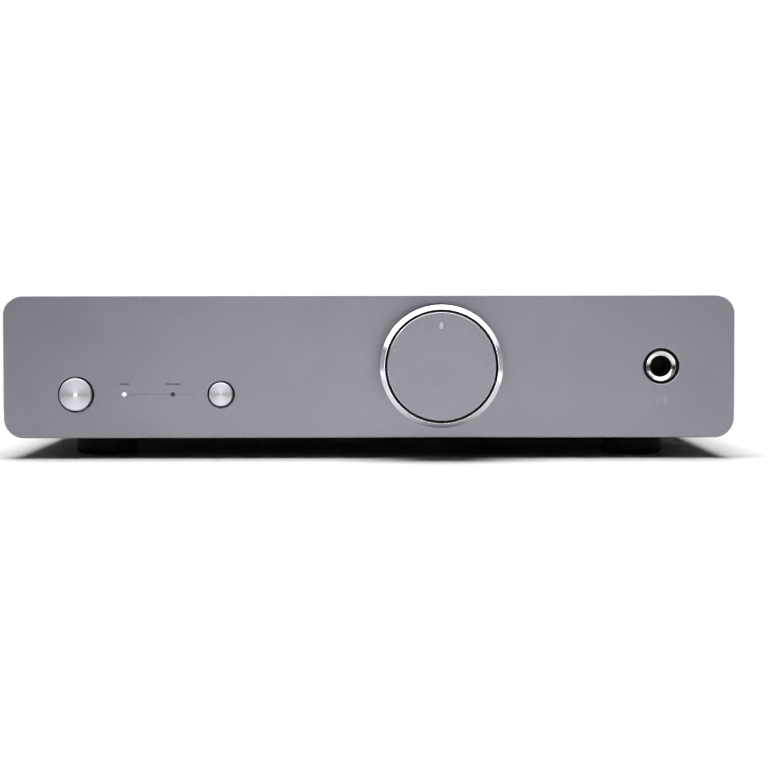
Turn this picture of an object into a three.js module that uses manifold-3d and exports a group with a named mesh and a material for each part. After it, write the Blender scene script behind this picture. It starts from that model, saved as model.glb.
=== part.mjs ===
// Half-width desktop headphone amplifier.
// Millimetres, +X to the right seen from the front, +Y to the back, +Z up.
// The origin is on the shelf, under the middle of the whole unit.

import * as THREE from "three";
import { mergeVertices } from "three/addons/utils/BufferGeometryUtils.js";
import Module from "manifold-3d";

const wasm = await Module();
wasm.setup();

// ---------------------------------------------------------------- driving dimensions

const WIDTH = 215;
const HEIGHT = 48;
const DEPTH = 159; // knob face to the ends of the phono sockets
const FOOT_ROOM = 6; // shelf to the lower edge of the front panel
const GAP = 0.3; // between pieces that rest on each other
const SHEET = 1; // steel sheet

const PANEL_DEPTH = 5;
const PANEL_RADIUS = 5.8;
const PANEL_CHAMFER = 0.6;
const KNOB_PROUD = 14;
const SOCKET_PROUD = 8.5;

const PANEL_FRONT = -DEPTH / 2 + KNOB_PROUD;
const PANEL_BACK = PANEL_FRONT + PANEL_DEPTH;
const PANEL_HEIGHT = HEIGHT - FOOT_ROOM;
const AXIS_Z = FOOT_ROOM + PANEL_HEIGHT / 2;
const REAR_FACE = DEPTH / 2 - SOCKET_PROUD;

// Controls on the front, left to right. The lower row keeps one pitch.
const ROW_Z = 18.9;
const ROW_PITCH = 14.23;
const POWER_X = -86.15;
const LAMP_X = [POWER_X + ROW_PITCH, POWER_X + 2 * ROW_PITCH];
const SELECTOR_X = POWER_X + 3 * ROW_PITCH;
const KNOB_X = 21.1;
const KNOB_Z = AXIS_Z + 0.35;
const JACK_X = 86;

// The sleeve sits a little inside the front panel's outline.
const SLEEVE_INSET = 0.7;
const SLEEVE_WIDTH = WIDTH - 2 * SLEEVE_INSET;
const SLEEVE_HEIGHT = PANEL_HEIGHT - 2 * SLEEVE_INSET;
const SLEEVE_RADIUS = 5.2;
const SLEEVE_FRONT = PANEL_BACK + GAP;
const SLEEVE_BACK = REAR_FACE + 0.6;
const SLEEVE_OPEN_HALF = 93; // half-width of the gap between the lips under the unit

// The tray carries everything; its floor rests on the sleeve's lips.
const TRAY_HALF = 101.6;
const TRAY_FLOOR = FOOT_ROOM + SLEEVE_INSET + SHEET + GAP;
const TRAY_TOP = TRAY_FLOOR + SHEET;
const WALL_FRONT = SLEEVE_FRONT;
const WALL_BACK = WALL_FRONT + SHEET;
const WALL_TOP = 45.4;
const TRAY_BACK = REAR_FACE - 1.5;
const TRAY_FLANGE = 8;

const FOOT = { radius: 9.5, x: 80, front: -38, back: 56 };
const COVER_SCREW = { x: 97.6, front: -38, back: 48 };

const BOARD = 1.6; // circuit board thickness
const MAIN_BOARD_Z = 13.6;
const MAIN_BOARD_TOP = MAIN_BOARD_Z + BOARD;
const ON_MAIN_BOARD = MAIN_BOARD_TOP + GAP;
const CONTROL_BOARD_Y = PANEL_FRONT + 19.2;
const BOARD_POSTS = [
  [-19, -36],
  [-19, 57],
  [96, -52],
  [92, 49],
];

const TRANSFORMER = { x: -62, y: 12, outer: 31, inner: 11, low: 11.5, high: 37.5 };

const PHONO_X = [86, 62, 38];
const PHONO_NAMES = ["input_1", "input_2", "output"];
const PHONO_RISE = 7; // each socket of a stacked pair above or below AXIS_Z
const INLET_X = -78;

// ---------------------------------------------------------------- materials

function paint(color, roughness, metalness) {
  return () => new THREE.MeshStandardMaterial({ color, roughness, metalness });
}

const greyAnodised = paint(0x8e8d96, 0.5, 0.7);
const brightAluminium = paint(0xd8d8de, 0.25, 1);
const greyPaintedSteel = paint(0x86858e, 0.5, 0.4);
const zincSteel = paint(0xb4b6ba, 0.4, 0.9);
const blackPaintedSteel = paint(0x1a1a1b, 0.5, 0.4);
const blackRubber = paint(0x161618, 0.85, 0);
const blackPlastic = paint(0x1a1a1d, 0.6, 0);
const clearPlastic = paint(0xf4f6fa, 0.15, 0);
const nickel = paint(0xcfd0d2, 0.2, 1);
const brass = paint(0xc9a550, 0.3, 1);
const circuitBoard = paint(0x1f5a36, 0.5, 0);
const windings = paint(0xb8702c, 0.5, 0.2);
const capacitorSleeve = paint(0x20222c, 0.4, 0);
const blackAluminium = paint(0x202124, 0.5, 0.6);
const greyRibbon = paint(0x9a9ca0, 0.6, 0);

// ---------------------------------------------------------------- shape helpers

// A closed three.js geometry as a manifold solid, facing out.
function solidOf(geometry) {
  const bare = geometry.index ? geometry.toNonIndexed() : geometry.clone();
  bare.deleteAttribute("normal");
  bare.deleteAttribute("uv");
  const merged = mergeVertices(bare, 1e-4);
  const index = merged.index.array;
  const kept = [];
  for (let i = 0; i < index.length; i += 3) {
    const [a, b, c] = [index[i], index[i + 1], index[i + 2]];
    if (a !== b && b !== c && a !== c) kept.push(a, b, c);
  }
  const build = (triangles) =>
    new wasm.Manifold(
      new wasm.Mesh({
        numProp: 3,
        vertProperties: merged.attributes.position.array,
        triVerts: new Uint32Array(triangles),
      }),
    );
  const solid = build(kept);
  return solid.volume() > 0 ? solid : build(kept.reverse());
}

function geometryOf(solid) {
  const { vertProperties, triVerts, numProp, numVert } = solid.getMesh();
  const positions = new Float32Array(numVert * 3);
  for (let i = 0; i < numVert; i++) {
    positions.set(vertProperties.subarray(i * numProp, i * numProp + 3), i * 3);
  }
  const geometry = new THREE.BufferGeometry();
  geometry.setAttribute("position", new THREE.BufferAttribute(positions, 3));
  geometry.setIndex(new THREE.BufferAttribute(triVerts, 1));
  geometry.computeVertexNormals();
  return geometry;
}

function join(first, ...others) {
  return others.reduce((sum, other) => sum.add(other), first);
}

function cut(first, ...others) {
  return others.reduce((rest, other) => rest.subtract(other), first);
}

// A block between two corners.
function block([x0, x1], [y0, y1], [z0, z1]) {
  const geometry = new THREE.BoxGeometry(x1 - x0, y1 - y0, z1 - z0);
  geometry.translate((x0 + x1) / 2, (y0 + y1) / 2, (z0 + z1) / 2);
  return solidOf(geometry);
}

// A rod along Y from y0 to y1, round the line at x, z.
function rodY(radius, [y0, y1], { x = 0, z = 0, sides = 24 } = {}) {
  const geometry = new THREE.CylinderGeometry(radius, radius, y1 - y0, sides);
  geometry.translate(x, (y0 + y1) / 2, z);
  return solidOf(geometry);
}

// A rod along Z from z0 to z1, round the line at x, y.
function rodZ(radius, [z0, z1], { x = 0, y = 0, sides = 24 } = {}) {
  const geometry = new THREE.CylinderGeometry(radius, radius, z1 - z0, sides);
  geometry.rotateX(Math.PI / 2);
  geometry.translate(x, y, (z0 + z1) / 2);
  return solidOf(geometry);
}

// A turned solid round the Y axis; profile is a list of [radius, y].
function turnedY(profile, sides = 32) {
  const points = profile.map(([radius, y]) => new THREE.Vector2(radius, y));
  return solidOf(new THREE.LatheGeometry(points, sides));
}

// A turned solid round the Z axis; profile is a list of [radius, z].
function turnedZ(profile, sides = 32) {
  const points = profile.map(([radius, z]) => new THREE.Vector2(radius, z));
  const geometry = new THREE.LatheGeometry(points, sides);
  geometry.rotateX(Math.PI / 2);
  return solidOf(geometry);
}

function roundedRectangle(width, height, radius) {
  const [w, h] = [width / 2, height / 2];
  const shape = new THREE.Shape();
  shape.absarc(w - radius, -h + radius, radius, -Math.PI / 2, 0);
  shape.absarc(w - radius, h - radius, radius, 0, Math.PI / 2);
  shape.absarc(-w + radius, h - radius, radius, Math.PI / 2, Math.PI);
  shape.absarc(-w + radius, -h + radius, radius, Math.PI, Math.PI * 1.5);
  shape.closePath();
  return shape;
}

// A shape drawn in X and Z, run along Y from y0 to y1. A chamfer goes round the y0 end only.
function runY(shape, [y0, y1], { chamfer = 0, curveSegments = 6 } = {}) {
  const geometry = new THREE.ExtrudeGeometry(shape, {
    depth: y1 - y0 - chamfer,
    curveSegments,
    bevelEnabled: chamfer > 0,
    bevelThickness: chamfer,
    bevelSize: chamfer,
    bevelOffset: -chamfer,
    bevelSegments: 1,
  });
  geometry.rotateX(Math.PI / 2);
  geometry.translate(0, y1, 0);
  const solid = solidOf(geometry);
  if (chamfer === 0) return solid;
  const far = 500;
  return cut(solid, block([-far, far], [y1, y1 + far], [-far, far]));
}

// A shape drawn in Y and Z, run along X from x0 to x1.
function runX(points, [x0, x1]) {
  const shape = new THREE.Shape(points.map(([y, z]) => new THREE.Vector2(y, z)));
  const geometry = new THREE.ExtrudeGeometry(shape, { depth: x1 - x0, bevelEnabled: false });
  geometry.rotateX(Math.PI / 2);
  geometry.rotateZ(Math.PI / 2);
  geometry.translate(x0, 0, 0);
  return solidOf(geometry);
}

// A round wire through points, as one closed tube.
function wire(points, radius, steps = 12) {
  const path = new THREE.CatmullRomCurve3(points.map((p) => new THREE.Vector3(...p)));
  const section = new THREE.Shape();
  section.absarc(0, 0, radius, 0, Math.PI * 2);
  const settings = { steps, extrudePath: path, curveSegments: 4, bevelEnabled: false };
  return solidOf(new THREE.ExtrudeGeometry(section, settings));
}

// A strip of even thickness that follows points [y, z], as an outline for runX.
function stripOutline(points, thickness) {
  const path = new THREE.CatmullRomCurve3(points.map(([y, z]) => new THREE.Vector3(y, z, 0)));
  const count = 14;
  const sides = [[], []];
  for (let i = 0; i <= count; i++) {
    const at = path.getPoint(i / count);
    const along = path.getTangent(i / count);
    const across = [(-along.y * thickness) / 2, (along.x * thickness) / 2];
    sides[0].push([at.x + across[0], at.y + across[1]]);
    sides[1].unshift([at.x - across[0], at.y - across[1]]);
  }
  return [...sides[0], ...sides[1]];
}

const amplifier = new THREE.Group();
amplifier.name = "headphone_amplifier";

function group(x = 0, y = 0, z = 0) {
  const made = new THREE.Group();
  made.position.set(x, y, z);
  amplifier.add(made);
  return made;
}

function place(parent, name, solid, material, [x, y, z] = [0, 0, 0]) {
  const mesh = new THREE.Mesh(geometryOf(solid), material());
  mesh.name = name;
  mesh.position.set(x, y, z);
  parent.add(mesh);
}

// ---------------------------------------------------------------- enclosure

const HOLE = { power: 5.35, selector: 4, lamp: 0.82, volume: 8, jack: 5.3 };

function frontPanel() {
  const outline = roundedRectangle(WIDTH, PANEL_HEIGHT, PANEL_RADIUS);
  const plate = runY(outline, [0, PANEL_DEPTH], { chamfer: PANEL_CHAMFER });
  const through = [-1, PANEL_DEPTH + 1];
  const row = ROW_Z - AXIS_Z;
  return cut(
    plate,
    rodY(HOLE.power, through, { x: POWER_X, z: row }),
    rodY(HOLE.selector, through, { x: SELECTOR_X, z: row, sides: 20 }),
    ...LAMP_X.map((x) => rodY(HOLE.lamp, through, { x, z: row, sides: 10 })),
    rodY(HOLE.volume, through, { x: KNOB_X, z: KNOB_Z - AXIS_Z }),
    rodY(HOLE.jack, through, { x: JACK_X }),
  );
}

function sleeve() {
  const run = [SLEEVE_FRONT, SLEEVE_BACK];
  const outer = roundedRectangle(SLEEVE_WIDTH, SLEEVE_HEIGHT, SLEEVE_RADIUS);
  const inner = roundedRectangle(
    SLEEVE_WIDTH - 2 * SHEET,
    SLEEVE_HEIGHT - 2 * SHEET,
    SLEEVE_RADIUS - SHEET,
  );
  const half = SLEEVE_OPEN_HALF;
  const screwHoles = [COVER_SCREW.front, COVER_SCREW.back].flatMap((y) =>
    [-1, 1].map((side) =>
      rodZ(1.8, [-AXIS_Z, 0], { x: side * COVER_SCREW.x, y, sides: 12 }),
    ),
  );
  return cut(
    runY(outer, run),
    runY(inner, [run[0] - 1, run[1] + 1]),
    block([-half, half], [run[0] - 1, run[1] + 1], [-AXIS_Z, 0]),
    ...screwHoles,
  );
}

const FLOOR_VENT = { count: 8, pitch: 6, width: 2.2, run: [26, 56], x: 22 };
const REAR_VENT = { count: 9, pitch: 5, width: 2, height: 16, x: -19 };

// Where each slot of a row of vents lies along X; x is the middle of the row.
function ventCentres({ count, pitch, x }) {
  return Array.from({ length: count }, (_, i) => x + (i - (count - 1) / 2) * pitch);
}

function baseTray() {
  const run = [WALL_FRONT, TRAY_BACK];
  const floor = block([-TRAY_HALF, TRAY_HALF], run, [TRAY_FLOOR, TRAY_TOP]);
  const wall = block([-TRAY_HALF, TRAY_HALF], [WALL_FRONT, WALL_BACK], [TRAY_FLOOR, WALL_TOP]);
  const flanges = [-TRAY_HALF, TRAY_HALF - SHEET].map((x) =>
    block([x, x + SHEET], run, [TRAY_FLOOR, TRAY_TOP + TRAY_FLANGE]),
  );
  const posts = BOARD_POSTS.map(([x, y]) =>
    rodZ(3, [TRAY_FLOOR + SHEET / 2, MAIN_BOARD_Z - GAP], { x, y, sides: 12 }),
  );
  const through = [WALL_FRONT - 1, WALL_BACK + 1];
  const wallHoles = [
    rodY(5.15, through, { x: POWER_X, z: ROW_Z }),
    rodY(3.85, through, { x: SELECTOR_X, z: ROW_Z, sides: 20 }),
    ...LAMP_X.map((x) => rodY(1.9, through, { x, z: ROW_Z, sides: 12 })),
    rodY(4.8, through, { x: KNOB_X, z: KNOB_Z, sides: 20 }),
    rodY(HOLE.jack, through, { x: JACK_X, z: AXIS_Z, sides: 20 }),
  ];
  const floorCut = [TRAY_FLOOR - 1, TRAY_TOP + 1];
  const screwHoles = [COVER_SCREW.front, COVER_SCREW.back].flatMap((y) =>
    [-1, 1].map((side) => rodZ(1.8, floorCut, { x: side * COVER_SCREW.x, y, sides: 12 })),
  );
  const boltHole = rodZ(3, floorCut, { x: TRANSFORMER.x, y: TRANSFORMER.y, sides: 12 });
  const slots = ventCentres(FLOOR_VENT).map((x) =>
    block([x - FLOOR_VENT.width / 2, x + FLOOR_VENT.width / 2], FLOOR_VENT.run, floorCut),
  );
  const folded = join(floor, wall, ...flanges, ...posts);
  return cut(folded, ...wallHoles, ...screwHoles, ...slots, boltHole);
}
const INLET_CUT = [11.3, 6.6]; // half-width and half-height of the mains inlet's cut-out

function rearPanel() {
  const thickness = 1.2;
  const [y0, y1] = [REAR_FACE - thickness, REAR_FACE];
  const inset = SHEET + GAP;
  const outline = roundedRectangle(
    SLEEVE_WIDTH - 2 * inset,
    SLEEVE_HEIGHT - 2 * inset,
    SLEEVE_RADIUS - inset,
  );
  const plate = runY(outline, [y0, y1]).translate([0, 0, AXIS_Z]);
  const low = TRAY_TOP + GAP;
  const foot = block([-TRAY_HALF + 2, TRAY_HALF - 2], [y0 - 6, y1], [low, low + thickness]);
  const through = [y0 - 1, y1 + 1];
  const sockets = PHONO_X.flatMap((x) =>
    [-1, 1].map((side) =>
      rodY(PHONO.hole, through, { x, z: AXIS_Z + side * PHONO_RISE, sides: 16 }),
    ),
  );
  const inlet = block(
    [INLET_X - INLET_CUT[0], INLET_X + INLET_CUT[0]],
    through,
    [AXIS_Z - INLET_CUT[1], AXIS_Z + INLET_CUT[1]],
  );
  const [wide, tall] = [REAR_VENT.width / 2, REAR_VENT.height / 2];
  const vents = ventCentres(REAR_VENT).map((x) =>
    block([x - wide, x + wide], through, [AXIS_Z - tall, AXIS_Z + tall]),
  );
  return cut(join(plate, foot), ...sockets, inlet, ...vents);
}

// A moulded foot with a well for its screw; it stands on a flat ring.
function foot() {
  const top = TRAY_FLOOR - GAP;
  return turnedZ(
    [
      [2, 3.6],
      [4.6, 3.6],
      [4.6, 0],
      [FOOT.radius - 1, 0],
      [FOOT.radius, 1],
      [FOOT.radius - 0.6, top],
      [2, top],
      [2, 3.6],
    ],
    20,
  );
}

function coverScrew() {
  const head = FOOT_ROOM + SLEEVE_INSET - GAP;
  return turnedZ(
    [
      [0, head - 1.3],
      [2.1, head - 1.3],
      [2.8, head - 0.5],
      [2.8, head],
      [1.45, head],
      [1.45, TRAY_TOP + 2],
      [0, TRAY_TOP + 2],
    ],
    12,
  );
}

function addEnclosure() {
  const case_ = group();
  place(case_, "front_panel", frontPanel(), greyAnodised, [0, PANEL_FRONT, AXIS_Z]);
  place(case_, "base_tray", baseTray(), blackPaintedSteel);
  place(case_, "top_cover", sleeve(), greyPaintedSteel, [0, 0, AXIS_Z]);
  place(case_, "rear_panel", rearPanel(), greyPaintedSteel);
  const ends = { front: FOOT.front, rear: FOOT.back };
  const sides = { left: -1, right: 1 };
  for (const [end, y] of Object.entries(ends)) {
    for (const [side, sign] of Object.entries(sides)) {
      place(case_, `foot_${end}_${side}`, foot(), blackRubber, [sign * FOOT.x, y, 0]);
      const screwY = end === "front" ? COVER_SCREW.front : COVER_SCREW.back;
      const at = [sign * COVER_SCREW.x, screwY, 0];
      place(case_, `cover_screw_${end}_${side}`, coverScrew(), zincSteel, at);
    }
  }
}

// ---------------------------------------------------------------- volume control
// Local frame: the knob's axis where it meets the panel's front face, -Y towards the listener.

const KNOB = { radius: 17.8, ring: 1.6, recess: 3.3, back: -0.8, hub: 6.7, shaft: 3 };
const FACE_RADIUS = KNOB.radius - KNOB.ring - 0.4;
const POINTER = { height: 2.2, width: 1.3, z: 11.9, depth: 0.6 };

// A cup with a bright chamfered rim and a seat in front for the face disc.
function knobShell() {
  const front = -KNOB_PROUD;
  const rim = KNOB.radius - KNOB.ring;
  const web = front + KNOB.recess;
  const cup = turnedY(
    [
      [KNOB.radius, KNOB.back],
      [KNOB.radius, front + 0.1 + KNOB.ring],
      [rim, front + 0.1],
      [rim, web],
      [KNOB.hub + GAP, web],
      [KNOB.hub + GAP, web + 1.5],
      [KNOB.radius - 2, web + 1.5],
      [KNOB.radius - 2, KNOB.back],
      [KNOB.radius, KNOB.back],
    ],
    48,
  );
  const keyHole = rodZ(1.8, [-KNOB.radius - 1, -KNOB.radius / 2], { y: -5, sides: 12 });
  return cut(cup, keyHole);
}

function knobHub() {
  const sleeveRing = turnedY(
    [
      [KNOB.shaft + GAP, -1.5],
      [KNOB.hub, -1.5],
      [KNOB.hub, -KNOB_PROUD + KNOB.recess + GAP],
      [KNOB.shaft + GAP, -KNOB_PROUD + KNOB.recess + GAP],
      [KNOB.shaft + GAP, -1.5],
    ],
    24,
  );
  return cut(sleeveRing, rodZ(1.75, [-KNOB.hub - 1, -1], { y: -5, sides: 12 }));
}

function knobFace() {
  const front = -KNOB_PROUD;
  const disc = turnedY(
    [
      [0, front],
      [FACE_RADIUS - 0.8, front],
      [FACE_RADIUS, front + 0.6],
      [FACE_RADIUS, front + KNOB.recess - GAP],
      [0, front + KNOB.recess - GAP],
    ],
    48,
  );
  const [w, h] = [POINTER.width / 2 + 0.15, POINTER.height / 2 + 0.15];
  const pocket = block([-w, w], [front - 1, front + POINTER.depth], [POINTER.z - h, POINTER.z + h]);
  return cut(disc, pocket);
}

function knobPointer() {
  const [w, h] = [POINTER.width / 2, POINTER.height / 2];
  const front = -KNOB_PROUD;
  return block([-w, w], [front + 0.05, front + POINTER.depth - 0.1], [POINTER.z - h, POINTER.z + h]);
}

// A 6 mm shaft with a flat underneath for the set screw.
function volumeShaft() {
  const shaft = rodY(KNOB.shaft, [-9.8, 14]);
  return cut(shaft, block([-4, 4], [-10, -1], [-4, -2.4]));
}

function volumeControlBody() {
  const back = CONTROL_BOARD_Y - PANEL_FRONT - GAP;
  const front = PANEL_DEPTH + 2 * GAP + SHEET;
  const can = block([-10, 10], [front, back], [-10, 10]);
  const bush = rodY(4.5, [0.6, front + 1]);
  return cut(join(can, bush), rodY(KNOB.shaft + GAP, [0, 14.5]));
}

function volumeNut() {
  const nut = rodY(6.9, [PANEL_DEPTH - 2.5, PANEL_DEPTH], { sides: 6 });
  return cut(nut, rodY(4.8, [0, PANEL_DEPTH + 1]));
}

function addVolumeControl() {
  const control = group(KNOB_X, PANEL_FRONT, KNOB_Z);
  place(control, "knob_shell", knobShell(), greyAnodised);
  place(control, "knob_hub", knobHub(), blackPlastic);
  place(control, "knob_face", knobFace(), greyAnodised);
  place(control, "knob_pointer", knobPointer(), clearPlastic);
  place(control, "knob_set_screw", rodZ(1.45, [-6.2, -2.7], { y: -5, sides: 12 }), zincSteel);
  place(control, "volume_shaft", volumeShaft(), brightAluminium);
  place(control, "volume_control_body", volumeControlBody(), blackPlastic);
  place(control, "volume_nut", volumeNut(), nickel);
}

// ---------------------------------------------------------------- push buttons
// Local frame: the button's axis where it meets the panel's front face.

const BUTTON_PROUD = 1.5;
const FLANGE_FRONT = PANEL_DEPTH + GAP + SHEET + GAP; // the flange rests behind the tray's wall
const SWITCH_FRONT = 15.4;

// The cap runs through panel and wall; its flange keeps it from falling out.
function buttonCap({ radius, flange, stem, bore }) {
  const cap = turnedY(
    [
      [0, -BUTTON_PROUD],
      [radius - 0.35, -BUTTON_PROUD],
      [radius, -BUTTON_PROUD + 0.35],
      [radius, FLANGE_FRONT],
      [flange, FLANGE_FRONT],
      [flange, FLANGE_FRONT + 1],
      [stem, FLANGE_FRONT + 1],
      [stem, 13.2],
      [0, 13.2],
    ],
    24,
  );
  return bore ? cut(cap, rodY(bore, [-3, 14], { sides: 12 })) : cap;
}

// A return spring, as the ring that its coils fill.
function buttonSpring({ springInner, springOuter }) {
  const [front, back] = [FLANGE_FRONT + 1 + GAP, 11.7];
  return turnedY(
    [
      [springInner, front],
      [springOuter, front],
      [springOuter, back],
      [springInner, back],
      [springInner, front],
    ],
    16,
  );
}

// A cup behind the wall that guides the stem and holds the spring.
function buttonGuide({ guide, stem, flange }) {
  const [front, web, back] = [FLANGE_FRONT, 12, 13];
  const inner = flange + 0.5;
  return turnedY(
    [
      [inner, front],
      [guide, front],
      [guide, back],
      [stem + 0.4, back],
      [stem + 0.4, web],
      [inner, web],
      [inner, front],
    ],
    16,
  );
}

function switchBody() {
  const back = CONTROL_BOARD_Y - PANEL_FRONT - GAP;
  const can = block([-3, 3], [SWITCH_FRONT, back], [-3, 3]);
  return cut(can, rodY(2.1, [SWITCH_FRONT - 1, SWITCH_FRONT + 2.8], { sides: 12 }));
}

function addButton(name, x, sizes) {
  const button = group(x, PANEL_FRONT, ROW_Z);
  place(button, `${name}_button`, buttonCap(sizes), brightAluminium);
  place(button, `${name}_button_spring`, buttonSpring(sizes), zincSteel);
  place(button, `${name}_button_guide`, buttonGuide(sizes), blackPlastic);
  place(button, `${name}_switch`, switchBody(), blackPlastic);
  const plunger = rodY(1.7, [13.5, SWITCH_FRONT + 1.2], { sides: 12 });
  place(button, `${name}_switch_plunger`, plunger, clearPlastic);
  return button;
}

function addButtons() {
  const power = {
    radius: 4.78,
    flange: 6.4,
    stem: 2.5,
    bore: 0.9,
    guide: 8.2,
    springInner: 4.9,
    springOuter: 6.1,
  };
  const selector = {
    radius: 3.5,
    flange: 5,
    stem: 2,
    guide: 6.6,
    springInner: 3.7,
    springOuter: 4.7,
  };
  const powerButton = addButton("power", POWER_X, power);
  const lens = rodY(0.65, [-BUTTON_PROUD + 0.05, 13.2], { sides: 12 });
  place(powerButton, "power_button_lens", lens, clearPlastic);
  addButton("selector", SELECTOR_X, selector);
}

// Light pipes that carry each lamp's light to the panel's face.
function addLamps() {
  LAMP_X.forEach((x, i) => {
    const pipe = turnedY(
      [
        [0, 0.05],
        [0.55, 0.05],
        [0.55, PANEL_DEPTH + GAP],
        [1.6, PANEL_DEPTH + GAP],
        [1.6, 16],
        [0, 16],
      ],
      12,
    );
    const lamp = group(x, PANEL_FRONT, ROW_Z);
    place(lamp, `indicator_lens_${i + 1}`, pipe, clearPlastic);
  });
}

// ---------------------------------------------------------------- headphone jack
// Local frame: the jack's axis where it meets the panel's front face.

const JACK = { bore: 3.2, ferrule: 4.4, nose: 4.98, depth: 40, slot: 1.9 };

function jackBody() {
  const front = PANEL_DEPTH + 2 * GAP + SHEET;
  const shell = block([-8, 8], [front, JACK.depth], [ON_MAIN_BOARD - AXIS_Z, 8.5]);
  const nose = rodY(JACK.nose, [1.2, front + 1]);
  const seat = rodY(JACK.ferrule + 0.3, [0, 14]);
  const bore = rodY(JACK.bore + 0.25, [13, JACK.depth - 4]);
  const slots = block([-9, 9], [16, JACK.depth - 3], [-JACK.slot, JACK.slot]);
  return cut(join(shell, nose), seat, bore, slots);
}

function jackFerrule() {
  return turnedY(
    [
      [JACK.bore, 1.7],
      [JACK.ferrule - 0.1, 0.5],
      [JACK.ferrule, 0.5],
      [JACK.ferrule, 13.7],
      [JACK.bore, 13.7],
      [JACK.bore, 1.7],
    ],
    28,
  );
}

// A bent contact spring in the slot beside the bore; side is -1 or 1.
function jackContact(side, [root, tip]) {
  const bend = root + (tip - root) * 0.7;
  const line = [
    [7.3, root],
    [7.3, root + 2],
    [4.2, bend],
    [5.4, tip],
  ];
  const thickness = 0.45;
  const inner = line.map(([x, y]) => new THREE.Vector2(side * x, y));
  const outer = line.map(([x, y]) => new THREE.Vector2(side * (x + thickness), y)).reverse();
  const shape = new THREE.Shape([...inner, ...outer]);
  const geometry = new THREE.ExtrudeGeometry(shape, { depth: 3, bevelEnabled: false });
  geometry.translate(0, 0, -1.5);
  return solidOf(geometry);
}

function addJack() {
  const jack = group(JACK_X, PANEL_FRONT, AXIS_Z);
  place(jack, "jack_body", jackBody(), blackPlastic);
  place(jack, "jack_ferrule", jackFerrule(), nickel);
  place(jack, "jack_contact_tip", jackContact(-1, [18, 35]), brass);
  place(jack, "jack_contact_ring", jackContact(1, [17, 29]), brass);
}

// ---------------------------------------------------------------- electronics

function mainBoard() {
  const back = REAR_FACE - 4.5;
  const wide = block([-24, 99.5], [-41, back], [MAIN_BOARD_Z, MAIN_BOARD_TOP]);
  const tongue = block([44, 99.5], [-57, -40], [MAIN_BOARD_Z, MAIN_BOARD_TOP]);
  return join(wide, tongue);
}

function heatSink() {
  const [w, d, fins] = [34, 14, 8];
  const height = [ON_MAIN_BOARD, 39];
  const back = block([-w / 2, w / 2], [d / 2 - 3, d / 2], height);
  const finAt = (i) => -w / 2 + (i * (w - 1.4)) / (fins - 1);
  const blades = Array.from({ length: fins }, (_, i) =>
    block([finAt(i), finAt(i) + 1.4], [-d / 2, d / 2 - 2], height),
  );
  return join(back, ...blades);
}

// A ring core under its windings, with rounded shoulders.
function transformer() {
  const { outer, inner, low, high } = TRANSFORMER;
  const r = 5;
  const corners = [
    [outer - r, low + r, -90],
    [outer - r, high - r, 0],
    [inner + r, high - r, 90],
    [inner + r, low + r, 180],
  ];
  const profile = corners.flatMap(([x, z, start]) =>
    [0, 45, 90].map((step) => {
      const angle = THREE.MathUtils.degToRad(start + step);
      return [x + r * Math.cos(angle), z + r * Math.sin(angle)];
    }),
  );
  return turnedZ([...profile, profile[0]], 24);
}

function transformerPad() {
  const [low, high] = [TRAY_TOP + GAP, TRANSFORMER.low - GAP];
  const disc = rodZ(28, [low, high]);
  return cut(disc, rodZ(3, [low - 1, high + 1], { sides: 12 }));
}

// A dished washer that clamps the windings.
function transformerWasher() {
  const { high } = TRANSFORMER;
  return turnedZ(
    [
      [3, high - 1.5],
      [7, high - 1.5],
      [9.5, high + GAP],
      [20, high + GAP],
      [20, high + 1.6],
      [8.5, high + 1.6],
      [6.5, high],
      [3, high],
      [3, high - 1.5],
    ],
    18,
  );
}

function transformerBolt() {
  const seat = TRANSFORMER.high + GAP;
  const head = rodZ(4.6, [seat, seat + 3.5], { sides: 6 });
  return join(head, rodZ(2.5, [TRAY_FLOOR, seat + 1], { sides: 12 }));
}

function addElectronics() {
  const inside = group();
  const controlRun = [CONTROL_BOARD_Y, CONTROL_BOARD_Y + BOARD];
  place(inside, "control_board", block([-99.5, 38], controlRun, [11.5, 43.5]), circuitBoard);
  place(inside, "main_board", mainBoard(), circuitBoard);
  place(inside, "heat_sink", heatSink(), blackAluminium, [22, 44, 0]);
  const can = rodZ(8, [ON_MAIN_BOARD, 40]);
  place(inside, "filter_capacitor_1", can, capacitorSleeve, [-10, 44, 0]);
  place(inside, "filter_capacitor_2", can, capacitorSleeve, [-10, 24, 0]);

  const supply = group(TRANSFORMER.x, TRANSFORMER.y, 0);
  place(supply, "transformer", transformer(), windings);
  place(supply, "transformer_pad", transformerPad(), blackRubber);
  place(supply, "transformer_washer", transformerWasher(), zincSteel);
  place(supply, "transformer_bolt", transformerBolt(), zincSteel);

  const ribbon = stripOutline(
    [
      [CONTROL_BOARD_Y + BOARD + GAP, 24],
      [CONTROL_BOARD_Y + BOARD + 5, 24],
      [CONTROL_BOARD_Y + BOARD + 11, 21],
      [CONTROL_BOARD_Y + BOARD + 12, ON_MAIN_BOARD + 0.1],
    ],
    0.9,
  );
  place(inside, "ribbon_cable", runX(ribbon, [-12, 8]), greyRibbon);
  const lead = wire(
    [
      [-42, 39, 34],
      [-36, 45, 35],
      [-27, 52, 30],
      [-20, 54, 22],
      [-19.5, 54, ON_MAIN_BOARD + 0.3],
    ],
    1.6,
  );
  place(inside, "secondary_lead", lead, paint(0xb02a24, 0.5, 0));
}

// ---------------------------------------------------------------- rear connectors
// Local frame: the connector's axis where it meets the rear panel's outer face, +Y outwards.

const PHONO = { shell: 4.15, bore: 3.45, flange: 5.2, hole: 4.5, root: -1.5 };

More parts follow.
